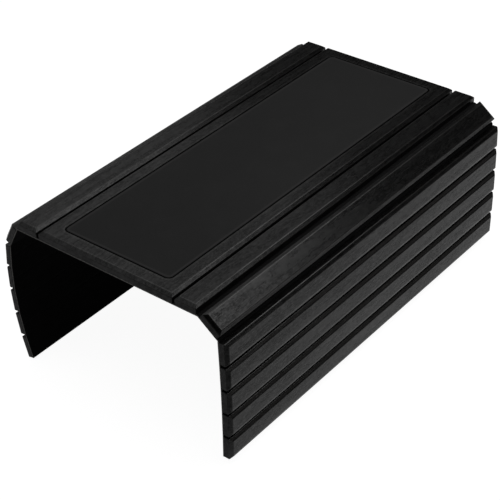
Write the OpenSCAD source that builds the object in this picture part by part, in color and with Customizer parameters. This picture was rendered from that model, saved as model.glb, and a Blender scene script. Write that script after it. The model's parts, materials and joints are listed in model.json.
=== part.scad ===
// Sofa arm tray, draped over an arm.
// A wide centre board carries a flush mat. Seven narrow slats hang from each long side.
// A thin flexible backing under everything is the hinge of every slat: each fold line runs
// along the gap between two slats, in the underside of the backing.
// X runs across the arm, Y along the slats, Z up. The origin is the middle of the underside
// of the centre board's backing, which is the face that rests on the arm.

/* [Centre board] */
// Length of the board and of every slat
tray_len = 356; // [250:1:450]
// Width of the centre board
board_w = 128; // [100:1:200]
// Thickness of the board and of the slats, without the backing
board_t = 6.8; // [5:0.1:10]

/* [Slats] */
// Slats on each side
slats = 7; // [5:1:8]
// Width of one slat
slat_w = 19; // [15:0.5:26]
// Gap between two neighbours, measured on the backing
slat_gap = 2.2; // [1.5:0.1:4]

/* [Bevels] */
// Width of the bevel on the long edges, seen from above
bevel_w = 2.4; // [1:0.1:4]
// Width of the bevel on the ends, seen from above
end_bevel_w = 2.8; // [1:0.1:5]
// Depth of every bevel
bevel_d = 2.2; // [1:0.1:3.5]

/* [Mat] */
// Distance from the board's edge to the groove round the mat
mat_inset = 12.5; // [8:0.5:25]
// Width of the groove round the mat
groove_w = 0.9; // [0.5:0.1:2]
// Depth of the pocket that the mat lies in
pocket_d = 1.4; // [0.8:0.1:2.5]
// Depth of the mat's top below the board's top
mat_low = 0.1; // [0:0.05:0.4]
// Radius of the pocket's corners
pocket_r = 5; // [3:0.5:12]

/* [Backing] */
// Thickness of the flexible backing
backing_t = 1; // [0.6:0.1:2]
// Clearance of each backing strip from its fold line
fold_clear = 0.06; // [0.03:0.01:0.2]

/* [Drape] */
// Right side: angle of the fold between slat 1 and slat 2, in degrees
right_angle_2 = 38; // [20:1:60]
// Right side: angle of the fold between slat 2 and slat 3, in degrees
right_angle_3 = 50.5; // [20:0.5:60]
// Right side: angle of each fold below slat 3, in degrees
right_angle_4 = 0.7; // [0:0.1:5]
// Left side: angle of the fold between slat 1 and slat 2, in degrees
left_angle_2 = 61; // [20:1:70]
// Left side: angle of the fold between slat 2 and slat 3, in degrees
left_angle_3 = 23.5; // [20:0.5:60]
// Left side: angle of each fold below slat 3, in degrees
left_angle_4 = 5; // [0:0.1:6]

/* [Hidden] */

wood_colour = [0.13, 0.13, 0.135];
mat_colour = [0.17, 0.17, 0.175];
backing_colour = [0.05, 0.05, 0.05];

// How far a cut runs past the face it opens
cut_past = board_t / 5;
pocket_w = board_w - 2 * mat_inset;
pocket_len = tray_len - 2 * mat_inset;
mat_w = pocket_w - 2 * groove_w;
mat_len = pocket_len - 2 * groove_w;
mat_t = pocket_d - mat_low;
board_top = backing_t + board_t;
// Distance between two fold lines
pitch = slat_w + slat_gap;

// Angles of the folds of each side: at slat 1, slat 2, slat 3, and every slat below
right_angles = [0, right_angle_2, right_angle_3, right_angle_4];
left_angles = [0, left_angle_2, left_angle_3, left_angle_4];

// Angle of slat i below the horizontal, the sum of the fold angles down to it
function dip(i, angles) =
    i < 1 ? 0 : dip(i - 1, angles) + angles[min(i, len(angles)) - 1];
// Position [x, z] of fold line i
function fold(i, angles) =
    i == 1
        ? [(board_w + slat_gap) / 2, 0]
        : fold(i - 1, angles) + pitch * [cos(dip(i - 1, angles)), -sin(dip(i - 1, angles))];

// A solid of this outline in X and Z, along Y from 0 to len
module along_y(len) {
    translate([0, len, 0])
        rotate([90, 0, 0])
            linear_extrude(len)
                children();
}

// A lath w wide, from X 0 to w, with its bevelled face up and its base at Z 0
module lath(w, len) {
    translate([0, -len / 2, 0])
        intersection() {
            along_y(len)
                polygon([
                    [0, 0], [w, 0], [w, board_t - bevel_d], [w - bevel_w, board_t],
                    [bevel_w, board_t], [0, board_t - bevel_d]
                ]);
            rotate([90, 0, 90])
                linear_extrude(w)
                    polygon([
                        [0, 0], [len, 0], [len, board_t - bevel_d], [len - end_bevel_w, board_t],
                        [end_bevel_w, board_t], [0, board_t - bevel_d]
                    ]);
        }
}

// A flat plate with rounded corners, centred, r being the corners' radius
module round_plate(w, len, t, r) {
    union() {
        translate([-w / 2 + r, -len / 2, 0])
            cube([w - 2 * r, len, t]);
        translate([-w / 2, -len / 2 + r, 0])
            cube([w, len - 2 * r, t]);
        for (x = [-1, 1], y = [-1, 1])
            translate([x * (w / 2 - r), y * (len / 2 - r), 0])
                cylinder(h = t, r = r, $fn = 64);
    }
}

// Centre board with its pocket for the mat
module centre_board() {
    color(wood_colour)
        difference() {
            translate([-board_w / 2, 0, backing_t])
                lath(board_w, tray_len);
            translate([0, 0, board_top - pocket_d])
                round_plate(pocket_w, pocket_len, pocket_d + cut_past, pocket_r);
        }
}

// Mat lying in the pocket
module inlaid_mat() {
    color(mat_colour)
        translate([0, 0, board_top - pocket_d])
            round_plate(mat_w, mat_len, mat_t, pocket_r - groove_w);
}

// Backing under the centre board, up to the first fold line on each side
module centre_backing() {
    width = board_w + slat_gap - 2 * fold_clear;
    color(backing_colour)
        translate([-width / 2, -tray_len / 2, 0])
            cube([width, tray_len, backing_t]);
}

// Puts its children on strip i of the right side: X 0 is the fold line, Z 0 the underside
module on_strip(i, angles) {
    at = fold(i, angles);
    translate([at[0], 0, at[1]])
        rotate([0, dip(i, angles), 0])
            children();
}

// One slat as it lies on its strip
module slat() {
    color(wood_colour)
        translate([slat_gap / 2, 0, backing_t])
            lath(slat_w, tray_len);
}

// Backing strip i: it ends just short of both fold lines, and the last one at its slat's edge
module backing(i) {
    end = i < slats ? pitch - fold_clear : pitch - slat_gap / 2;
    color(backing_colour)
        translate([fold_clear, -tray_len / 2, 0])
            cube([end - fold_clear, tray_len, backing_t]);
}

module right_slat(i) {
    on_strip(i, right_angles)
        slat();
}

module right_backing(i) {
    on_strip(i, right_angles)
        backing(i);
}

module left_slat(i) {
    mirror([1, 0, 0])
        on_strip(i, left_angles)
            slat();
}

module left_backing(i) {
    mirror([1, 0, 0])
        on_strip(i, left_angles)
            backing(i);
}

centre_board();
inlaid_mat();
centre_backing();
for (i = [1:slats]) {
    right_slat(i);
    right_backing(i);
    left_slat(i);
    left_backing(i);
}
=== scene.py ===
"""Looks of a flexible slatted armrest tray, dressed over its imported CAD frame.

Every length is in metres, in the frame of the CAD model: X runs across the tray, Y along
its slats and Z up, with the origin in the middle of the underside of the centre panel.
"""

import json
import logging
import math
from collections.abc import Callable
from dataclasses import dataclass, field
from enum import Enum

import bmesh
import bpy
from mathutils import Euler, Matrix, Vector

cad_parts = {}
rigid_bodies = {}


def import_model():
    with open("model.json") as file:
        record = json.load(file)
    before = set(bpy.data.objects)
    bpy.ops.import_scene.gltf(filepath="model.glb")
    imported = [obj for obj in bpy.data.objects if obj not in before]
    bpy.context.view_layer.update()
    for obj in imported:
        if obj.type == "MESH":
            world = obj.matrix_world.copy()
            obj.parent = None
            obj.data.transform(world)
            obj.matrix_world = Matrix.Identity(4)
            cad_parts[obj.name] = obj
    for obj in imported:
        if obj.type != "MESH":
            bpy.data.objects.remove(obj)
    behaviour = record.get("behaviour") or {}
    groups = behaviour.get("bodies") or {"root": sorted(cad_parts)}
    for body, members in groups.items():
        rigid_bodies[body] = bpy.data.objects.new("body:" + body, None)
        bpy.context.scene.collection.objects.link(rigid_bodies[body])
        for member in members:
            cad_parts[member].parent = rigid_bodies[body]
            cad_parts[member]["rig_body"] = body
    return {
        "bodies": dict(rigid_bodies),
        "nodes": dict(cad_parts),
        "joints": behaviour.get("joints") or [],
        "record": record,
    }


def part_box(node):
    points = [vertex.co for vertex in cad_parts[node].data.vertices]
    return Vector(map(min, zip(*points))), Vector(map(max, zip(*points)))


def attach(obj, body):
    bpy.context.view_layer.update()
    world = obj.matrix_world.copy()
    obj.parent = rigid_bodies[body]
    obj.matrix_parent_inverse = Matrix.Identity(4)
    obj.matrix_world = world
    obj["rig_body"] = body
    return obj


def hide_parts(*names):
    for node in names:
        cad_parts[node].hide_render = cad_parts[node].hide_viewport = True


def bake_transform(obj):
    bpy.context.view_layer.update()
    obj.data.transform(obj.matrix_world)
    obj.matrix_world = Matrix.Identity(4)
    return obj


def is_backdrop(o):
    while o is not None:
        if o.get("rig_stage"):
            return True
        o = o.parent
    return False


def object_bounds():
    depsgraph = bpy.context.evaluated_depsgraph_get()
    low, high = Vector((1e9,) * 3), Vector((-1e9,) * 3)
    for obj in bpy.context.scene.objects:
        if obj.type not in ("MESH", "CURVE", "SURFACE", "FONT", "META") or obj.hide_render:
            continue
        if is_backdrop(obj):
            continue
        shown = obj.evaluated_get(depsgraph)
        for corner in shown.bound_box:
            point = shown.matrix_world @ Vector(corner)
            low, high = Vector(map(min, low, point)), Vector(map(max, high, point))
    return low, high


log = logging.getLogger("armrest_tray")

Colour = tuple[float, float, float, float]
Point = tuple[float, float, float]


class Side(Enum):
    """The flap of slats on one side of the centre panel."""

    RIGHT = "right"
    LEFT = "left"

    @property
    def sign(self) -> float:
        """Tells which way the flap leaves the centre panel along X."""
        return 1.0 if self is Side.RIGHT else -1.0


class Hold(Enum):
    """How a sheet is held in the finished tray."""

    STRETCHED = "stretched"


# ---------------------------------------------------------------- shader maths


@dataclass(frozen=True)
class Signal:
    """An output socket of a node tree that takes part in Python expressions.

    Attributes:
        bench: The bench that owns the tree.
        socket: The wrapped output, or None for a node that only ends a tree.
    """

    bench: "Bench"
    socket: bpy.types.NodeSocket | None

    def _maths(self, operation: str, first: object, second: object = 0.0) -> "Signal":
        """Adds one Math node.

        Args:
            operation: Blender's name of the operation.
            first: The first number or signal.
            second: The second number or signal.

        Returns:
            The node's value.
        """
        return self.bench.put("ShaderNodeMath", {"operation": operation}, {0: first, 1: second})

    def __add__(self, other: object) -> "Signal":
        """Adds a number or signal."""
        return self._maths("ADD", self, other)

    __radd__ = __add__

    def __sub__(self, other: object) -> "Signal":
        """Takes a number or signal away."""
        return self._maths("SUBTRACT", self, other)

    def __rsub__(self, other: object) -> "Signal":
        """Is taken away from a number."""
        return self._maths("SUBTRACT", other, self)

    def __mul__(self, other: object) -> "Signal":
        """Multiplies by a number or signal."""
        return self._maths("MULTIPLY", self, other)

    __rmul__ = __mul__

    def __pow__(self, power: object) -> "Signal":
        """Raises to a power."""
        return self._maths("POWER", self, power)

    def __abs__(self) -> "Signal":
        """Drops the sign."""
        return self._maths("ABSOLUTE", self)

    def least(self, other: object) -> "Signal":
        """Keeps the smaller of two values."""
        return self._maths("MINIMUM", self, other)

    def most(self, other: object) -> "Signal":
        """Keeps the larger of two values."""
        return self._maths("MAXIMUM", self, other)

    def eased(self, low: float, high: float, start: float = 0.0, end: float = 1.0) -> "Signal":
        """Maps a range to another one with soft ends.

        Args:
            low: The value that gives start.
            high: The value that gives end.
            start: The result at and below low.
            end: The result at and above high.

        Returns:
            The mapped value.
        """
        return self.bench.put(
            "ShaderNodeMapRange",
            {"interpolation_type": "SMOOTHSTEP"},
            {"Value": self, "From Min": low, "From Max": high, "To Min": start, "To Max": end},
        )


@dataclass(frozen=True)
class Bench:
    """Where the nodes of one material or world are put together.

    Attributes:
        tree: The node tree that is filled.
    """

    tree: bpy.types.NodeTree

    def put(
        self,
        kind: str,
        settings: dict[str, object] | None = None,
        sockets: dict[str | int, object] | None = None,
        out: str | int = 0,
    ) -> Signal:
        """Adds a node, sets it up and feeds it.

        Args:
            kind: Blender's type name of the node.
            settings: Its settings, and under "stops" a ramp's places and colours.
            sockets: A value or a signal for each input that is not left at its default.
            out: The output to return.

        Returns:
            The chosen output, which is empty for an output node.
        """
        node = self.tree.nodes.new(kind)
        for name, value in (settings or {}).items():
            if name == "stops":
                stops = node.color_ramp.elements
                while len(stops) < len(value):
                    stops.new(0.5)
                for stop, (place, colour) in zip(stops, value):
                    stop.position, stop.color = place, colour
            else:
                setattr(node, name, value)
        for key, value in (sockets or {}).items():
            if isinstance(value, Signal):
                self.tree.links.new(value.socket, node.inputs[key])
            else:
                node.inputs[key].default_value = value
        return Signal(self, node.outputs[out] if len(node.outputs) else None)

    def object_point(self) -> Signal:
        """Reads the shaded point in the tray's frame."""
        return self.put("ShaderNodeTexCoord", out="Object")

    def parts(self, vector: Signal) -> tuple[Signal, Signal, Signal]:
        """Splits a vector.

        Args:
            vector: The vector to split.

        Returns:
            Its X, Y and Z.
        """
        node = self.put("ShaderNodeSeparateXYZ", sockets={0: vector}).socket.node
        return tuple(Signal(self, node.outputs[i]) for i in range(3))

    def vector(self, x: object, y: object, z: object = 0.0) -> Signal:
        """Joins three values to a vector."""
        return self.put("ShaderNodeCombineXYZ", sockets={0: x, 1: y, 2: z})

    def scaled(self, vector: Signal, factors: Point, shift: Point = (0.0, 0.0, 0.0)) -> Signal:
        """Stretches a vector by fixed factors and moves it.

        Args:
            vector: The vector to change.
            factors: One factor for each axis.
            shift: What is added after the factors.

        Returns:
            The changed vector.
        """
        return self.put(
            "ShaderNodeVectorMath",
            {"operation": "MULTIPLY_ADD"},
            {0: vector, 1: factors, 2: shift},
        )

    def noise(
        self,
        place: Signal,
        scale: float = 1.0,
        detail: float = 2.0,
        rough: float = 0.5,
        twist: float = 0.0,
    ) -> Signal:
        """Adds a noise pattern.

        Args:
            place: Where the pattern is read.
            scale: Cells to the unit of place.
            detail: How many finer layers it has.
            rough: How strong the finer layers are.
            twist: How much the pattern is bent by itself.

        Returns:
            The pattern, about 0.5 in the middle.
        """
        return self.put(
            "ShaderNodeTexNoise",
            {"noise_dimensions": "3D"},
            {
                "Vector": place,
                "Scale": scale,
                "Detail": detail,
                "Roughness": rough,
                "Distortion": twist,
            },
        )

    def mixed(self, share: object, first: object, second: object) -> Signal:
        """Mixes two colours.

        Args:
            share: How much of the second colour shows.
            first: The first colour.
            second: The second colour.

        Returns:
            The mixed colour.
        """
        return self.put(
            "ShaderNodeMix",
            {"data_type": "RGBA", "clamp_factor": True},
            {0: share, 6: first, 7: second},
            out=2,
        )

    def bumped(self, height: Signal, depth: float, under: Signal | None = None) -> Signal:
        """Turns a height into a normal.

        Args:
            height: The height, from 0 to 1.
            depth: What a height of 1 stands for, in metres.
            under: A normal that this one is laid over.

        Returns:
            The bent normal.
        """
        sockets = {"Height": height, "Distance": depth, "Strength": 1.0}
        if under is not None:
            sockets["Normal"] = under
        return self.put("ShaderNodeBump", sockets=sockets)


def new_material(name: str) -> tuple[bpy.types.Material, Bench]:
    """Starts a material with an empty node tree.

    Args:
        name: The material's name.

    Returns:
        The material and its bench.
    """
    material = bpy.data.materials.new(name)
    material.use_nodes = True
    material.node_tree.nodes.clear()
    return material, Bench(material.node_tree)


def surface(bench: Bench, sockets: dict[str, object]) -> Signal:
    """Adds the Principled shader and joins it to the material's output.

    Args:
        bench: The material's bench.
        sockets: Values and signals for the shader's inputs.

    Returns:
        The shader's output.
    """
    shader = bench.put("ShaderNodeBsdfPrincipled", sockets=sockets)
    bench.put("ShaderNodeOutputMaterial", sockets={"Surface": shader})
    return shader


# ---------------------------------------------------------------- places of the pieces


@dataclass(frozen=True)
class Placement:
    """The local frame of a flat piece: X across it, Y along it and Z out of its upper face.

    Attributes:
        origin: The middle of the piece's underside line, in the tray's frame.
        tilt: How far its X axis is turned down from the tray's X axis, in radians.
        flipped: True where its X axis points to the tray's left.
    """

    origin: Vector
    tilt: float = 0.0
    flipped: bool = False

    @property
    def across(self) -> Vector:
        """The unit vector across the piece, away from the centre panel."""
        turned = Vector((math.cos(self.tilt), 0.0, -math.sin(self.tilt)))
        return Vector((-turned.x, 0.0, turned.z)) if self.flipped else turned

    @property
    def outward(self) -> Vector:
        """The unit vector out of the upper face."""
        turned = Vector((math.sin(self.tilt), 0.0, math.cos(self.tilt)))
        return Vector((-turned.x, 0.0, turned.z)) if self.flipped else turned

    def point(self, across: float, along: float, out: float) -> Vector:
        """Gives a local point's place in the tray's frame.

        Args:
            across: Distance across the piece.
            along: Distance along the piece.
            out: Distance out of its underside.

        Returns:
            The place.
        """
        return self.origin + self.across * across + Vector((0.0, along, 0.0)) + self.outward * out

    def read(self, bench: Bench) -> Signal:
        """Reads the shaded point in this local frame, with X towards the tray's right.

        Args:
            bench: The material's bench.

        Returns:
            The local point.
        """
        turn = Matrix.Rotation(self.tilt * (-1.0 if self.flipped else 1.0), 3, "Y").transposed()
        return bench.put(
            "ShaderNodeMapping",
            {"vector_type": "POINT"},
            {
                "Vector": bench.object_point(),
                "Location": -(turn @ self.origin),
                "Rotation": turn.to_euler("XYZ"),
            },
        )


@dataclass(frozen=True)
class Chamfer:
    """The sizes that place a bevelled board's arrises, in its local frame.

    Attributes:
        half_width: Half the width, across.
        half_length: Half the length, along.
        top: Height of the upper face.
        side_run: Width of the long bevels.
        end_run: Width of the end bevels.
        drop: Depth of the bevels.
    """

    half_width: float
    half_length: float
    top: float
    side_run: float
    end_run: float
    drop: float

    def nearness(self, bench: Bench, place: Signal) -> Signal:
        """Measures how far the shaded point is from the nearest upper arris.

        Args:
            bench: The material's bench.
            place: The point in the board's local frame.

        Returns:
            The distance in metres.
        """
        x, y, z = bench.parts(place)
        lines = (
            (abs(x) - (self.half_width - self.side_run), z - self.top),
            (abs(x) - self.half_width, z - (self.top - self.drop)),
            (abs(y) - (self.half_length - self.end_run), z - self.top),
            (abs(y) - self.half_length, z - (self.top - self.drop)),
        )
        gaps = [(a * a + b * b) ** 0.5 for a, b in lines]
        return gaps[0].least(gaps[1]).least(gaps[2].least(gaps[3]))

    def inside_groove(self, bench: Bench, place: Signal) -> Signal:
        """Marks what lies below the upper face and away from the sides, where shade is painted.

        Args:
            bench: The material's bench.
            place: The point in the board's local frame.

        Returns:
            1 inside the groove and pocket, and 0 outside.
        """
        x, y, z = bench.parts(place)
        inset = self.end_run * 2.0
        across = abs(x).eased(self.half_width - inset, self.half_width - inset - 0.0005)
        along = abs(y).eased(self.half_length - inset, self.half_length - inset - 0.0005)
        return across * along * z.eased(self.top - 0.0006, self.top - 0.0002, 1.0, 0.0)


@dataclass(frozen=True)
class Outline:
    """A rectangle with round corners, seen from above and centred on the board.

    Attributes:
        half_width: Half its width.
        half_length: Half its length.
        corner: The radius of its corners.
    """

    half_width: float
    half_length: float
    corner: float

    def beyond(self, bench: Bench, place: Signal) -> Signal:
        """Measures how far the shaded point is outside the outline.

        Args:
            bench: The material's bench.
            place: The point in the board's local frame.

        Returns:
            The distance in metres, negative inside.
        """
        x, y, _ = bench.parts(place)
        past_x = abs(x) - (self.half_width - self.corner)
        past_y = abs(y) - (self.half_length - self.corner)
        round_part = past_x.most(0.0) ** 2.0 + past_y.most(0.0) ** 2.0
        return round_part ** 0.5 + past_x.most(past_y).least(0.0) - self.corner


# ---------------------------------------------------------------- finishes


@dataclass(frozen=True)
class WearAndPaintedLight:
    """How strongly a board's arrises are lightened, partly as rubbed stain and partly as painted highlight, and
    its upward bevel by painted light.

    Attributes:
        arrises: Strength along all its upper arrises, partly rubbed stain and partly painted highlight.
        painted_bevel_light: Strength of the painted light on the bevel that faces up once the board hangs.
        painted_arris_highlight: Strength of the painted highlight along the arris below its face once the board
            hangs.
        downwards: The sign of the board's X axis where it hangs down.
    """

    arrises: float = 1.0
    painted_bevel_light: float = 0.0
    painted_arris_highlight: float = 0.0
    downwards: float = 1.0

    def bevel(self, bench: Bench, place: Signal, chamfer: Chamfer) -> Signal:
        """Marks the bevel that faces up, where light is painted.

        Args:
            bench: The material's bench.
            place: The point in the board's local frame.
            chamfer: The board's sizes.

        Returns:
            The strength there, and 0 elsewhere.
        """
        x, _, z = bench.parts(place)
        edge = chamfer.half_width - chamfer.side_run
        foot = chamfer.top - chamfer.drop
        above = z.eased(foot - 0.0001, foot + 0.0003)
        beyond = (x * self.downwards).eased(-edge - 0.0010, -edge - 0.0004, self.painted_bevel_light, 0.0)
        return above * beyond

    def arris(self, bench: Bench, place: Signal, chamfer: Chamfer) -> Signal:
        """Marks the arris below the face, where a highlight is painted.

        Args:
            bench: The material's bench.
            place: The point in the board's local frame.
            chamfer: The board's sizes.

        Returns:
            The strength there, and 0 elsewhere.
        """
        x, _, z = bench.parts(place)
        line = chamfer.half_width - chamfer.side_run - 0.0006
        near = abs(x * self.downwards - line).eased(0.0006, 0.0011, self.painted_arris_highlight, 0.0)
        return near * z.eased(chamfer.top - 0.0009, chamfer.top - 0.0005)


@dataclass(frozen=True)
class StainedWood:
    """Black stained wood: fine pores and streaks along the piece, arrises lightened partly by rubbing and partly
    as painted highlight, and painted shade in its pocket and groove.

    Attributes:
        stain: The colour of the stain.
        thin_stain: The colour where the stain is thinner, on the streaks.
        wear_and_highlight_colour: The colour of the arrises, partly rubbed stain and partly painted highlight,
            also painted as light on the bevel that faces up and along the pocket's rim.
        pore: The colour in the pores.
        gloss: Share of the light that the bare wood mirrors, under the wiped-on oil.
    """

    stain: Colour = (0.0006, 0.0006, 0.0006, 1.0)
    thin_stain: Colour = (0.0058, 0.0057, 0.0056, 1.0)
    wear_and_highlight_colour: Colour = (0.026, 0.025, 0.024, 1.0)
    pore: Colour = (0.0006, 0.0006, 0.0006, 1.0)
    gloss: float = 0.10

    def make(
        self,
        name: str,
        placement: Placement,
        chamfer: Chamfer,
        seed: int,
        pocket: Outline | None = None,
        wear_and_light: WearAndPaintedLight = WearAndPaintedLight(),
    ) -> bpy.types.Material:
        """Makes the finish for one board.

        Args:
            name: The material's name.
            placement: The board's local frame.
            chamfer: The board's sizes.
            seed: A number that gives each board its own grain.
            pocket: The outline of its pocket, along whose rim a highlight is painted.
            wear_and_light: How strongly its arrises are rubbed, and the painted highlights and light on it.

        Returns:
            The material.
        """
        material, bench = new_material(name)
        place = placement.read(bench)
        shift = (seed * 0.731, seed * 1.377, seed * 0.419)
        streaks = bench.noise(bench.scaled(place, (260.0, 7.0, 260.0), shift), 1.0, 3.0, 0.55, 0.35)
        pores = bench.noise(bench.scaled(place, (1300.0, 60.0, 1300.0), shift), 1.0, 2.0, 0.6)
        mottle = bench.noise(bench.scaled(place, (380.0, 120.0, 380.0), shift), 1.0, 2.0, 0.6)
        clouds = bench.noise(bench.scaled(place, (30.0, 9.0, 30.0), shift), 1.0, 2.0, 0.5)
        dust = bench.noise(bench.scaled(place, (900.0, 420.0, 900.0), shift), 1.0, 2.0, 0.6)
        ends = abs(bench.parts(place)[1]).eased(
            chamfer.half_length - chamfer.end_run - 0.0003,
            chamfer.half_length - chamfer.end_run + 0.0003,
        )
        open_pores = pores.eased(0.56, 0.70) * (1.0 - ends)
        light = (
            streaks.eased(0.38, 0.66) * 0.34
            + mottle.eased(0.40, 0.66) * 0.34
            + clouds.eased(0.35, 0.70) * 0.20
            + dust.eased(0.42, 0.66) * 0.56
        )
        end_grain = abs(bench.parts(place)[1]).eased(
            chamfer.half_length - 0.0004, chamfer.half_length - 0.0001
        )
        gap = chamfer.nearness(bench, place) + (dust - 0.5) * 0.0008 + (clouds - 0.5) * 0.0009
        # Arris lightening: partly rubbed stain, partly a painted highlight
        wear_and_highlight = gap.eased(0.00015, 0.00080, wear_and_light.arrises, 0.0)
        # Painted light on the bevel that faces up once the slat hangs
        bevel = wear_and_light.bevel(bench, place, chamfer)
        # Painted highlight along the arris below the face of a hanging slat
        wear_and_highlight = wear_and_highlight.most(wear_and_light.arris(bench, place, chamfer))
        if pocket:
            # Painted highlight along the pocket's rim
            lip_highlight = abs(pocket.beyond(bench, place) - 0.0011)
            wear_and_highlight = wear_and_highlight.most(lip_highlight.eased(0.00025, 0.00085, 0.5, 0.0))
        colour = bench.mixed(light, self.stain, self.thin_stain)
        colour = bench.mixed(open_pores * 0.5, colour, self.pore)
        # Arrises and the pocket's rim take the lighter colour: partly rubbed stain, partly painted highlight
        colour = bench.mixed(wear_and_highlight * (0.25 + clouds * 0.45), colour, self.wear_and_highlight_colour)
        # Painted light: the bevel that faces up is lighter
        colour = bench.mixed(bevel * (0.7 + clouds * 0.6), colour, self.wear_and_highlight_colour)
        # Painted shade: nearly black below the upper face, in the pocket, the groove and on the underside
        painted_groove_shade = chamfer.inside_groove(bench, place)
        colour = bench.mixed(painted_groove_shade, colour, (0.0002, 0.0002, 0.0002, 1.0))
        rough = 0.28 + (streaks - 0.5) * 0.12 + (mottle - 0.5) * 0.10 + open_pores * 0.06
        height = (
            streaks * 0.35 + mottle * 0.30 + dust * 0.30 + (1.0 - open_pores) * 0.30
        ) * (1.0 - ends * 0.7)
        oil = 0.05 + light * 0.35 - open_pores * 0.07 + wear_and_highlight * 0.24
        surface(
            bench,
            {
                "Base Color": colour,
                "Roughness": (rough - wear_and_highlight * 0.06).most(end_grain * 0.62).most(painted_groove_shade),
                "Specular IOR Level": self.gloss,
                "Coat Weight": (oil * (1.0 - end_grain * 0.4)).most(0.0) * (1.0 - painted_groove_shade),
                "Coat Roughness": 0.26,
                "Normal": bench.bumped(height, 0.00020),
            },
        )
        return material


@dataclass(frozen=True)
class PressedMat:
    """The smooth inlaid mat: a soft black skin with a very fine pebble.

    Attributes:
        skin: The colour on the pebbles.
        valley: The colour between them.
        painted_highlight: The colour of the painted highlight along its edge and of the painted sheen, lighter
            towards its far end.
    """

    skin: Colour = (0.0178, 0.0178, 0.0178, 1.0)
    valley: Colour = (0.0115, 0.0115, 0.0115, 1.0)
    painted_highlight: Colour = (0.0270, 0.0268, 0.0265, 1.0)

    def make(self, name: str, top: float, outline: Outline) -> bpy.types.Material:
        """Makes the finish.

        Args:
            name: The material's name.
            top: The height of the mat's upper face, below which shade is painted on its sides.
            outline: The mat's outline, along which a highlight and shade are painted.

        Returns:
            The material.
        """
        material, bench = new_material(name)
        place = bench.object_point()
        pebbles = bench.put(
            "ShaderNodeTexVoronoi",
            {"feature": "F1", "distance": "EUCLIDEAN"},
            {"Vector": place, "Scale": 1500.0, "Randomness": 1.0},
        )
        cells = pebbles.eased(0.15, 0.62, 1.0, 0.0)
        clouds = bench.noise(place, 60.0, 4.0, 0.6)
        grit = bench.noise(place, 900.0, 2.0, 0.6)
        # Painted sheen: a slow pattern placed so that the far end is lighter
        painted_sheen_drift = bench.noise(bench.scaled(place, (4.0, 2.8, 0.0), (6.4, 9.04, 0.0)), 1.0, 1.0)
        colour = bench.mixed(cells * 0.55 + (clouds - 0.5) * 1.4, self.valley, self.skin)
        colour = bench.mixed(painted_sheen_drift.eased(0.38, 0.74, 0.0, 0.30), colour, self.painted_highlight)
        beyond = outline.beyond(bench, place)
        # Painted highlight: a light line just inside the mat's edge
        edge = abs(beyond + 0.0016).eased(0.0004, 0.0012, 0.7, 0.0)
        colour = bench.mixed(edge, colour, self.painted_highlight)
        # Painted shade: darker towards the groove at the mat's rim
        colour = bench.mixed(beyond.eased(-0.0007, -0.0003), colour, (0.0020, 0.0020, 0.0020, 1.0))
        # Painted shade on the mat's sides, below its upper face
        side = bench.parts(place)[2].eased(top - 0.0006, top - 0.0002, 1.0, 0.0)
        colour = bench.mixed(side, colour, (0.0003, 0.0003, 0.0003, 1.0))
        surface(
            bench,
            {
                "Base Color": colour,
                "Roughness": 0.66 + (clouds - 0.5) * 0.10 + (grit - 0.5) * 0.10,
                "Specular IOR Level": 0.09,
                "Normal": bench.bumped(cells * 0.8 + grit * 0.2, 0.00003),
            },
        )
        return material


@dataclass(frozen=True)
class BackingCloth:
    """The matt black cloth glued under the boards. Its pattern follows the flat cut.

    Attributes:
        thread: The colour on the threads.
        hollow: The colour between them.
        cut_edge: The colour of the raw cut edge.
        pitch: The distance from thread to thread.
    """

    thread: Colour = (0.0100, 0.0100, 0.0101, 1.0)
    hollow: Colour = (0.0020, 0.0020, 0.0020, 1.0)
    cut_edge: Colour = (0.240, 0.235, 0.230, 1.0)
    pitch: float = 0.0011

    def make(self, name: str, half_length: float) -> bpy.types.Material:
        """Makes the finish.

        Args:
            name: The material's name.
            half_length: Half the sheet's length, where its raw edges are.

        Returns:
            The material.
        """
        material, bench = new_material(name)
        flat = bench.put("ShaderNodeUVMap", {"uv_map": "flat"})
        across, along, _ = bench.parts(flat)
        turns = 2.0 * math.pi / self.pitch
        warp = bench.put("ShaderNodeMath", {"operation": "SINE"}, {0: across * turns})
        weft = bench.put("ShaderNodeMath", {"operation": "SINE"}, {0: along * turns})
        over = abs(warp).most(abs(weft)) * 0.6 + abs(warp * weft) * 0.4
        fuzz = bench.noise(bench.scaled(flat, (1.0, 1.0, 1.0)), 2600.0, 3.0, 0.7)
        clouds = bench.noise(bench.scaled(flat, (1.0, 1.0, 1.0)), 28.0, 2.0, 0.5)
        raw = abs(bench.parts(bench.object_point())[1]).eased(
            half_length - 0.0002, half_length - 0.00002
        )
        woven = over * 0.75 + fuzz * 0.35 + (clouds - 0.5) * 0.3
        colour = bench.mixed(woven, self.hollow, self.thread)
        colour = bench.mixed(raw * fuzz.eased(0.35, 0.65, 0.35, 1.0), colour, self.cut_edge)
        surface(
            bench,
            {
                "Base Color": colour,
                "Roughness": 0.9 + (fuzz - 0.5) * 0.12,
                "Specular IOR Level": 0.03,
                "Normal": bench.bumped(over * 0.8 + fuzz * 0.35, 0.00012),
            },
        )
        return material


# ---------------------------------------------------------------- the tray


@dataclass(frozen=True)
class TraySizes:
    """Sizes that the looks need and that the frame does not give as boxes.

    Attributes:
        backing: Thickness of the backing.
        side_run: Width of the bevels along the boards.
        end_run: Width of the bevels at their ends.
        drop: Depth of the bevels.
        round_over: Radius of the sanded arrises.
        groove: Width of the groove round the mat.
        mat_corner: Radius of the mat's corners.
    """

    backing: float = 0.001
    side_run: float = 0.0024
    end_run: float = 0.0028
    drop: float = 0.0022
    round_over: float = 0.00035
    groove: float = 0.0009
    mat_corner: float = 0.0041


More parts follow.
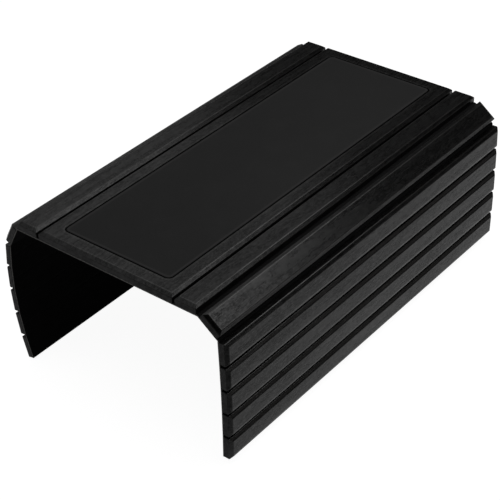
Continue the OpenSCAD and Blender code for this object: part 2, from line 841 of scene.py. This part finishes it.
@dataclass
class BoardWork:
    """Makes the rigid boards: the CAD solid with its arrises sanded round, and a finish.

    Attributes:
        sizes: The tray's sizes.
        wood: The wood's finish.
    """

    sizes: TraySizes
    wood: StainedWood = field(default_factory=StainedWood)

    def sanded(
        self,
        name: str,
        node: bpy.types.Object,
        material: bpy.types.Material,
        radius: float,
        rim: tuple[float, float] | None = None,
    ) -> bpy.types.Object:
        """Copies a CAD node's mesh, joins its triangles and rounds its arrises.

        Args:
            name: The new piece's name.
            node: The CAD node, which the new piece stands for.
            material: The finish.
            radius: The radius of the arrises.
            rim: Half the width and length of the middle, where the radius is half as large.

        Returns:
            The piece, which rides on the node's body.
        """
        mesh = bmesh.new()
        mesh.from_mesh(node.data)
        bmesh.ops.remove_doubles(mesh, verts=list(mesh.verts), dist=0.00002)
        bmesh.ops.dissolve_limit(
            mesh, angle_limit=0.02, verts=list(mesh.verts), edges=list(mesh.edges)
        )
        for face in mesh.faces:
            face.smooth = False
        for edge in mesh.edges:
            edge.smooth = True
        if rim:
            self._round(mesh, radius * 0.5, lambda v: abs(v.x) < rim[0] and abs(v.y) < rim[1])
            self._round(mesh, radius, lambda v: abs(v.x) >= rim[0] or abs(v.y) >= rim[1])
        else:
            self._round(mesh, radius, lambda v: True)
        data = bpy.data.meshes.new(name)
        mesh.to_mesh(data)
        mesh.free()
        data.materials.append(material)
        made = bpy.data.objects.new(name, data)
        bpy.context.scene.collection.objects.link(made)
        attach(made, node["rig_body"])
        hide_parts(node.name)
        return made

    def _round(
        self, mesh: bmesh.types.BMesh, radius: float, chosen: Callable[[Vector], bool]
    ) -> None:
        """Rounds the sharp edges whose ends are chosen.

        Args:
            mesh: The mesh to change.
            radius: The radius.
            chosen: Tells whether an edge's end belongs to this round.
        """
        sharp = [
            edge
            for edge in mesh.edges
            if len(edge.link_faces) == 2
            and edge.calc_face_angle() > math.radians(25.0)
            and not edge.seam
            and all(chosen(vert.co) for vert in edge.verts)
        ]
        rounded = bmesh.ops.bevel(
            mesh,
            geom=sharp,
            offset=radius,
            offset_type="OFFSET",
            segments=3,
            profile=0.5,
            affect="EDGES",
            clamp_overlap=True,
            material=-1,
        )
        for face in rounded["faces"]:
            face.smooth = True
            for edge in face.edges:
                edge.seam = True

    def chamfer(self, half_width: float, half_length: float, thickness: float) -> Chamfer:
        """Gives the sizes of a board whose local frame starts under the backing.

        Args:
            half_width: Half the board's width.
            half_length: Half its length.
            thickness: Its thickness.

        Returns:
            The sizes for the finish.
        """
        return Chamfer(
            half_width,
            half_length,
            self.sizes.backing + thickness,
            self.sizes.side_run,
            self.sizes.end_run,
            self.sizes.drop,
        )


@dataclass
class BackingSheet:
    """One stretch of the backing, laid flat first and then bent about its fold line.

    Attributes:
        name: The piece's name.
        width: Its flat width, across the slats.
        start: How far before the fold line it starts.
        length: Its length, along the slats.
        thickness: Its thickness.
        bend: Half the width of the part that bends.
    """

    name: str
    width: float
    start: float
    length: float
    thickness: float
    bend: float = 0.0011

    def flat_mesh(self) -> bmesh.types.BMesh:
        """Makes the flat sheet, with narrow columns where it bends and its cut as UVs.

        Returns:
            A closed mesh, its underside in the plane of Z zero.
        """
        mesh = bmesh.new()
        columns, rows = 40, 24
        bmesh.ops.create_grid(mesh, x_segments=columns, y_segments=rows, size=0.5)
        for vert in mesh.verts:
            vert.co.x = self._spread(round((vert.co.x + 0.5) * columns), columns)
            vert.co.y *= self.length
        lifted = bmesh.ops.extrude_face_region(mesh, geom=list(mesh.faces), use_keep_orig=True)
        top = [item for item in lifted["geom"] if isinstance(item, bmesh.types.BMVert)]
        bmesh.ops.translate(mesh, verts=top, vec=(0.0, 0.0, self.thickness))
        bmesh.ops.recalc_face_normals(mesh, faces=list(mesh.faces))
        for face in mesh.faces:
            face.smooth = abs(face.normal.z) > 0.5
        ends = [
            edge
            for edge in mesh.edges
            if edge.calc_face_angle() > 1.0
            and all(abs(abs(vert.co.y) - self.length / 2.0) < 1e-6 for vert in edge.verts)
            and abs(edge.verts[0].co.x - edge.verts[1].co.x) > 1e-6
        ]
        bmesh.ops.bevel(
            mesh,
            geom=ends,
            offset=self.thickness * 0.15,
            offset_type="OFFSET",
            segments=2,
            profile=0.5,
            affect="EDGES",
            clamp_overlap=True,
            material=-1,
        )
        uv = mesh.loops.layers.uv.new("flat")
        for face in mesh.faces:
            for loop in face.loops:
                loop[uv].uv = loop.vert.co.xy
        return mesh

    def _spread(self, column: int, columns: int) -> float:
        """Places a column of the grid, most of them in the bend.

        Args:
            column: The column's number, from 0.
            columns: The last column's number.

        Returns:
            Its distance from the fold line.
        """
        first, last = -self.start, self.width - self.start
        edge = 8
        if column <= edge:
            return first + (-self.bend - first) * column / edge
        if column >= columns - edge:
            return self.bend + (last - self.bend) * (column - columns + edge) / edge
        return self.bend * (2.0 * (column - edge) / (columns - 2 * edge) - 1.0)

    def bent(self, mesh: bmesh.types.BMesh, before: Placement, after: Placement) -> None:
        """Bends the flat sheet about the fold line between two placements.

        Args:
            mesh: The flat sheet.
            before: The frame of the strip before the fold, its origin on the fold line.
            after: The frame of the strip after it, its origin on the fold line.
        """
        for vert in mesh.verts:
            share = min(1.0, max(0.0, (vert.co.x + self.bend) / (2.0 * self.bend)))
            share = share * share * (3.0 - 2.0 * share)
            tilt = before.tilt + (after.tilt - before.tilt) * share
            here = Placement(before.origin, tilt, before.flipped)
            vert.co = here.point(vert.co.x, vert.co.y, vert.co.z)
        if before.flipped:
            bmesh.ops.reverse_faces(mesh, faces=list(mesh.faces))

    def piece(self, mesh: bmesh.types.BMesh, finish: bpy.types.Material) -> bpy.types.Object:
        """Makes the Blender object of the finished mesh.

        Args:
            mesh: The finished mesh, which is freed.
            finish: Its material.

        Returns:
            The object, at the origin.
        """
        data = bpy.data.meshes.new(self.name)
        mesh.to_mesh(data)
        mesh.free()
        data.materials.append(finish)
        made = bpy.data.objects.new(self.name, data)
        bpy.context.scene.collection.objects.link(made)
        return made


@dataclass
class CentrePanel:
    """The wide board, its inlaid mat and the backing under them.

    Attributes:
        work: How the boards are finished.
        cloth: The backing's material.
        fold: Distance of the first folds from the middle.
        lap: How far the first folding stretches reach under the board.
    """

    frame: dict
    work: BoardWork
    cloth: bpy.types.Material
    fold: float
    lap: float

    def build(self) -> list[bpy.types.Object]:
        """Dresses the board and mat and lays the backing.

        Returns:
            The pieces.
        """
        nodes = self.frame["nodes"]
        board, mat = nodes["centre_board"], nodes["inlaid_mat"]
        low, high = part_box("centre_board")
        chamfer = self.work.chamfer(high.x, high.y, high.z - low.z)
        flat = Placement(Vector((0.0, 0.0, 0.0)))
        radius, edge = self.work.sizes.round_over, self.work.sizes.end_run * 1.5
        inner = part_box("inlaid_mat")[1]
        corner = self.work.sizes.mat_corner
        outline = Outline(inner.x, inner.y, corner)
        groove = self.work.sizes.groove
        pocket = Outline(inner.x + groove, inner.y + groove, corner + groove)
        stained = self.work.wood.make(
            "stained_wood_board", flat, chamfer, 52, pocket, WearAndPaintedLight(arrises=0.6)
        )
        rim = (high.x - edge, high.y - edge)
        wide = self.work.sanded("board", board, stained, radius, rim)
        pressed = PressedMat().make("pressed_mat", inner.z, outline)
        inlay = self.work.sanded("mat", mat, pressed, radius * 0.5)
        return [wide, inlay, self._backing(high.y)]

    def _backing(self, half_length: float) -> bpy.types.Object:
        """Lays the flat stretch under the board.

        Args:
            half_length: Half the board's length.

        Returns:
            The sheet.
        """
        half = self.fold - self.lap
        low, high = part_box("centre_backing")
        sheet = BackingSheet("backing_centre", 2.0 * half, half, 2.0 * half_length, high.z - low.z)
        made = sheet.piece(sheet.flat_mesh(), self.cloth)
        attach(made, "centre")
        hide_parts("centre_backing")
        return made


@dataclass
class Flap:
    """Seven slats and the backing bent between them, on one side.

    Attributes:
        side: Which side it is on.
        work: How the boards are finished.
        cloth: The backing's material.
        count: How many slats it has.
    """

    frame: dict
    side: Side
    work: BoardWork
    cloth: bpy.types.Material
    count: int = 7

    def joints(self) -> list[dict]:
        """Gives the flap's joints from the centre panel outwards."""
        known = {joint["name"]: joint for joint in self.frame["joints"]}
        return [known[f"{self.side.value}_fold_{i + 1}"] for i in range(self.count)]

    def folds(self) -> list[Placement]:
        """Places the strips of the flap.

        Returns:
            For the centre panel and each slat, a frame whose origin is on its inner fold.
        """
        flipped = self.side is Side.LEFT
        first = Vector(self.joints()[0]["pos_m"])
        placed, tilt = [Placement(first, 0.0, flipped)], 0.0
        for joint in self.joints():
            tilt -= math.radians(joint["range_deg"][0])
            placed.append(Placement(Vector(joint["pos_m"]), tilt, flipped))
        return placed

    def build(self) -> list[bpy.types.Object]:
        """Dresses the slats and lays the backing, bent at the folds.

        Returns:
            The pieces.
        """
        folds = self.folds()
        pitch = (folds[2].origin - folds[1].origin).length
        made = []
        for i in range(1, self.count + 1):
            made.append(self._slat(i, folds[i], pitch))
            made.append(self._backing(i, folds[i - 1], folds[i], pitch))
        return made

    def _slat(self, number: int, fold: Placement, pitch: float) -> bpy.types.Object:
        """Dresses one slat.

        Args:
            number: The slat's number from the centre panel.
            fold: The frame on its inner fold line.
            pitch: The distance from fold to fold.

        Returns:
            The slat.
        """
        name = f"{self.side.value}_slat_{number}"
        slat = self.frame["nodes"][name]
        low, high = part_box(f"{self.side.value}_slat_1")
        middle = Placement(fold.point(pitch / 2.0, 0.0, 0.0), fold.tilt, fold.flipped)
        chamfer = self.work.chamfer((high.x - low.x) / 2.0, high.y, high.z - low.z)
        seed = number + (0 if self.side is Side.RIGHT else 20)
        finish = self.work.wood.make(
            f"stained_wood_{name}", middle, chamfer, seed, None, self._wear_and_light(number)
        )
        made = self.work.sanded(
            f"slat_{self.side.value}_{number}", slat, finish, self.work.sizes.round_over
        )
        return made

    def _wear_and_light(self, number: int) -> WearAndPaintedLight:
        """Gives a slat's arris wear and painted light: slats 1 and 2 lie on the arm, and the others hang.

        Args:
            number: The slat's number from the centre panel.

        Returns:
            Its wear and painted light.
        """
        downwards = 1.0 if self.side is Side.RIGHT else -1.0
        if number <= 2:
            return WearAndPaintedLight(arrises=(0.6, 0.8)[number - 1], downwards=downwards)
        # Hanging slats: a painted highlight on the arris below the face, and on slats 4 to 7 painted light on the
        # bevel that faces up
        if number == 3:
            return WearAndPaintedLight(arrises=0.7, painted_arris_highlight=1.8, downwards=downwards)
        return WearAndPaintedLight(arrises=0.5, painted_bevel_light=0.85, painted_arris_highlight=1.5, downwards=downwards)

    def _backing(
        self, number: int, before: Placement, after: Placement, pitch: float
    ) -> bpy.types.Object:
        """Lays the stretch of backing that is bent at the fold before one slat.

        Args:
            number: The slat's number.
            before: The frame of the strip before the fold.
            after: The frame of the strip after it.
            pitch: The distance from fold to fold.

        Returns:
            The sheet.
        """
        side, half = self.side.value, pitch / 2.0
        low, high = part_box(f"{side}_slat_1")
        gap = (pitch - (high.x - low.x)) / 2.0
        reach = half if number < self.count else pitch - gap
        sheet = BackingSheet(
            f"backing_{side}_fold_{number}",
            half + reach,
            half,
            high.y - low.y,
            self.work.sizes.backing,
            gap,
        )
        mesh = sheet.flat_mesh()
        start = Placement(after.origin, before.tilt, before.flipped)
        sheet.bent(mesh, start, after)
        made = sheet.piece(mesh, self.cloth)
        bend = gap * 1.0
        start.point(-bend, 0.0, 0.0)
        after.point(bend, 0.0, 0.0)
        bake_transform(made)
        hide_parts(f"{side}_backing_{number}")
        return made


@dataclass
class ArmrestTray:
    """The whole tray: the centre panel between two flaps of slats.

    Attributes:
        sizes: The tray's sizes.
    """

    frame: dict
    sizes: TraySizes = field(default_factory=TraySizes)

    def build(self) -> list[bpy.types.Object]:
        """Builds each part in order.

        Returns:
            The pieces.
        """
        work = BoardWork(self.sizes)
        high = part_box("centre_board")[1]
        cloth = BackingCloth().make("backing_cloth", high.y)
        flaps = [Flap(self.frame, side, work, cloth) for side in Side]
        folds = flaps[0].folds()
        lap = (folds[2].origin - folds[1].origin).length / 2.0
        centre = CentrePanel(self.frame, work, cloth, folds[1].origin.x, lap)
        made = centre.build()
        for flap in flaps:
            made += flap.build()
        for piece in made:
            log.info("%s: %d faces, dressed", piece.name, len(piece.data.polygons))
        return made


# ---------------------------------------------------------------- camera and studio


@dataclass(frozen=True)
class PhotoCamera:
    """The camera that was fitted to the tray's edges.

    Attributes:
        azimuth: Its direction round the tray, in degrees from straight in front.
        elevation: Its height angle, in degrees.
        roll: Its roll, in degrees.
        focal: Its focal length in pixels of a picture that is 500 wide.
        aim: The point the fit turned about.
        offset: The camera's place from that point, on its own axes.
    """

    azimuth: float = 39.477
    elevation: float = 35.281
    roll: float = -1.774
    focal: float = 1451.045
    aim: Point = (0.0, 0.0, -0.04)
    offset: Point = (-0.00872, -0.035027, 1.153739)

    def build(self) -> bpy.types.Object:
        """Makes the camera and sets it as the scene's.

        Returns:
            The camera.
        """
        turn, rise, roll = (math.radians(a) for a in (self.azimuth, self.elevation, self.roll))
        back = Vector(
            (math.sin(turn) * math.cos(rise), -math.cos(turn) * math.cos(rise), math.sin(rise))
        )
        level = Vector((math.cos(turn), math.sin(turn), 0.0))
        upright = back.cross(level)
        right = level * math.cos(roll) + upright * math.sin(roll)
        up = upright * math.cos(roll) - level * math.sin(roll)
        axes = Matrix((right, up, back)).transposed()
        data = bpy.data.cameras.new("photo_camera")
        data.sensor_width = 36.0
        data.lens = self.focal / 500.0 * data.sensor_width
        data.clip_start, data.clip_end = 0.05, 50.0
        camera = bpy.data.objects.new("photo_camera", data)
        place = Vector(self.aim) + axes @ Vector(self.offset)
        camera.matrix_world = Matrix.Translation(place) @ axes.to_4x4()
        bpy.context.scene.collection.objects.link(camera)
        bpy.context.scene.camera = camera
        return camera


@dataclass(frozen=True)
class Lamp:
    """A soft box.

    Attributes:
        name: Its name.
        towards: The direction it stands in, seen from what it lights.
        distance: How far away it stands.
        size: Its width and height.
        power: Its power, in watts.
        aim: The point it faces.
        width_axis: The direction that its width follows as nearly as it can.
    """

    name: str
    towards: Point
    distance: float
    size: tuple[float, float]
    power: float
    aim: Point = (0.0, 0.0, -0.03)
    width_axis: Point | None = None

    def build(self) -> bpy.types.Object:
        """Makes the lamp.

        Returns:
            The lamp.
        """
        data = bpy.data.lights.new(self.name, "AREA")
        data.shape = "RECTANGLE"
        data.size, data.size_y = self.size
        data.energy = self.power
        lamp = bpy.data.objects.new(self.name, data)
        away = Vector(self.towards).normalized()
        level = Vector((0.0, 0.0, 1.0)).cross(away) if self.width_axis is None else Vector(self.width_axis)
        width = (level - away * level.dot(away)).normalized()
        lamp.matrix_world = (
            Matrix.Translation(Vector(self.aim) + away * self.distance)
            @ Matrix((width, away.cross(width), away)).transposed().to_4x4()
        )
        lamp.visible_camera = False
        bpy.context.scene.collection.objects.link(lamp)
        return lamp


@dataclass(frozen=True)
class Studio:
    """A pale floor, a pale surround and the soft boxes.

    Attributes:
        floor_level: The height of the floor.
        floor_size: Half the floor's side.
        dim_side: The direction of the studio's unlit side.
        lamps: The soft boxes.
    """

    floor_level: float
    floor_size: float = 6.0
    dim_side: Point = (0.446, -0.664, 0.600)
    lamps: tuple[Lamp, ...] = (
        Lamp("softbox_near_right", (0.41, 0.51, 0.76), 0.46, (0.36, 0.22), 0.60, (0.07, -0.11, 0.0)),
        Lamp(
            "softbox_back_left", (-0.56, 0.52, 0.60), 0.50, (0.40, 0.40), 0.23, (0.0, -0.16, 0.0), (1.0, 0.0, 0.0)
        ),
        Lamp("softbox_front_left", (-0.55, -0.55, 0.65), 1.6, (0.9, 0.9), 1.4),
        Lamp("softbox_top", (-0.2, -0.3, 1.0), 1.8, (1.0, 1.0), 3.0),
    )

    def build(self) -> None:
        """Makes the floor, the surround and the lamps."""
        mesh = bmesh.new()
        bmesh.ops.create_grid(mesh, x_segments=8, y_segments=8, size=self.floor_size)
        bmesh.ops.translate(mesh, verts=list(mesh.verts), vec=(0.0, 0.0, self.floor_level))
        data = bpy.data.meshes.new("studio_floor")
        mesh.to_mesh(data)
        mesh.free()
        data.materials.append(self._floor_finish())
        floor = bpy.data.objects.new("studio_floor", data)
        bpy.context.scene.collection.objects.link(floor)
        floor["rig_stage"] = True
        self._surround()
        for lamp in self.lamps:
            lamp.build()

    def _rays(self, bench: Bench) -> tuple[Signal, Signal]:
        """Tells the rays that show the background.

        Args:
            bench: The bench of the floor or the surround.

        Returns:
            1 for what the camera sees straight or through glass, and 1 for reflections.
        """
        path = bench.put("ShaderNodeLightPath").socket.node.outputs
        seen = Signal(bench, path["Is Camera Ray"]).most(Signal(bench, path["Is Transmission Ray"]))
        return seen, Signal(bench, path["Is Glossy Ray"])

    def _floor_finish(self) -> bpy.types.Material:
        """Makes the pale paper of the floor, which keeps a faint shadow and is clear from below.

        Returns:
            The material.
        """
        material, bench = new_material("pale_paper")
        place = bench.object_point()
        x, y, _ = bench.parts(place)
        fibres = bench.noise(place, 40.0, 3.0, 0.6)
        shade = bench.mixed(fibres, (0.19, 0.19, 0.19, 1.0), (0.20, 0.20, 0.20, 1.0))
        paper = bench.put("ShaderNodeBsdfDiffuse", sockets={"Color": shade})
        seen, mirrored = self._rays(bench)
        reach = (x * x + y * y) ** 0.5
        corner = x.eased(0.06, 0.12) * y.eased(-0.23, -0.17, 1.0, 0.0)
        pool = reach.eased(0.42, 0.72, 0.56, 0.07) * (1.0 - corner * 0.8)
        lit = bench.put(
            "ShaderNodeEmission",
            sockets={
                "Color": (1.0, 1.0, 1.0, 1.0),
                "Strength": (seen * 0.945).most(mirrored * pool),
            },
        )
        both = bench.put("ShaderNodeAddShader", sockets={0: paper, 1: lit})
        below = bench.put("ShaderNodeNewGeometry", out="Backfacing")
        clear = bench.put("ShaderNodeBsdfTransparent")
        shown = bench.put("ShaderNodeMixShader", sockets={0: below, 1: both, 2: clear})
        bench.put("ShaderNodeOutputMaterial", sockets={"Surface": shown})
        return material

    def _surround(self) -> None:
        """Lights the tray softly from above, behind a white backdrop."""
        world = bpy.data.worlds.new("studio_surround")
        bpy.context.scene.world = world
        world.use_nodes = True
        world.node_tree.nodes.clear()
        bench = Bench(world.node_tree)
        seen = self._rays(bench)[0]
        towards = bench.put("ShaderNodeTexCoord", out="Generated")
        _, depth, height = bench.parts(towards)
        facing = bench.put(
            "ShaderNodeVectorMath",
            {"operation": "DOT_PRODUCT"},
            {0: towards, 1: self.dim_side},
            out="Value",
        )
        ceiling = height.eased(0.62, 0.78, 0.03, 1.20) * height.eased(0.80, 0.96, 1.0, 0.55)
        ceiling = ceiling * facing.eased(0.72, 0.93, 1.0, 0.10) * depth.eased(-0.60, 0.20, 0.27, 1.0)
        ceiling = ceiling + height.eased(0.10, 0.36, 1.0, 0.0) * depth.eased(-0.2, 0.5, 0.5, 0.14)
        strength = ceiling * (1.0 - seen) + seen
        shade = bench.put(
            "ShaderNodeBackground", sockets={"Color": (1.0, 1.0, 1.0, 1.0), "Strength": strength}
        )
        bench.put("ShaderNodeOutputWorld", sockets={"Surface": shade})


def main() -> None:
    """Builds the tray, the camera and the studio."""
    logging.basicConfig(level=logging.INFO, format="%(message)s")
    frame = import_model()
    bpy.context.view_layer.update()
    frame_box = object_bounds()
    PhotoCamera().build()
    pieces = ArmrestTray(frame).build()
    Studio(floor_level=frame_box[0].z - 0.0005).build()
    bpy.context.scene.view_settings.view_transform = "Standard"
    bpy.context.view_layer.update()
    log.info("%d pieces", len(pieces))


if __name__ == "__main__":
    main()
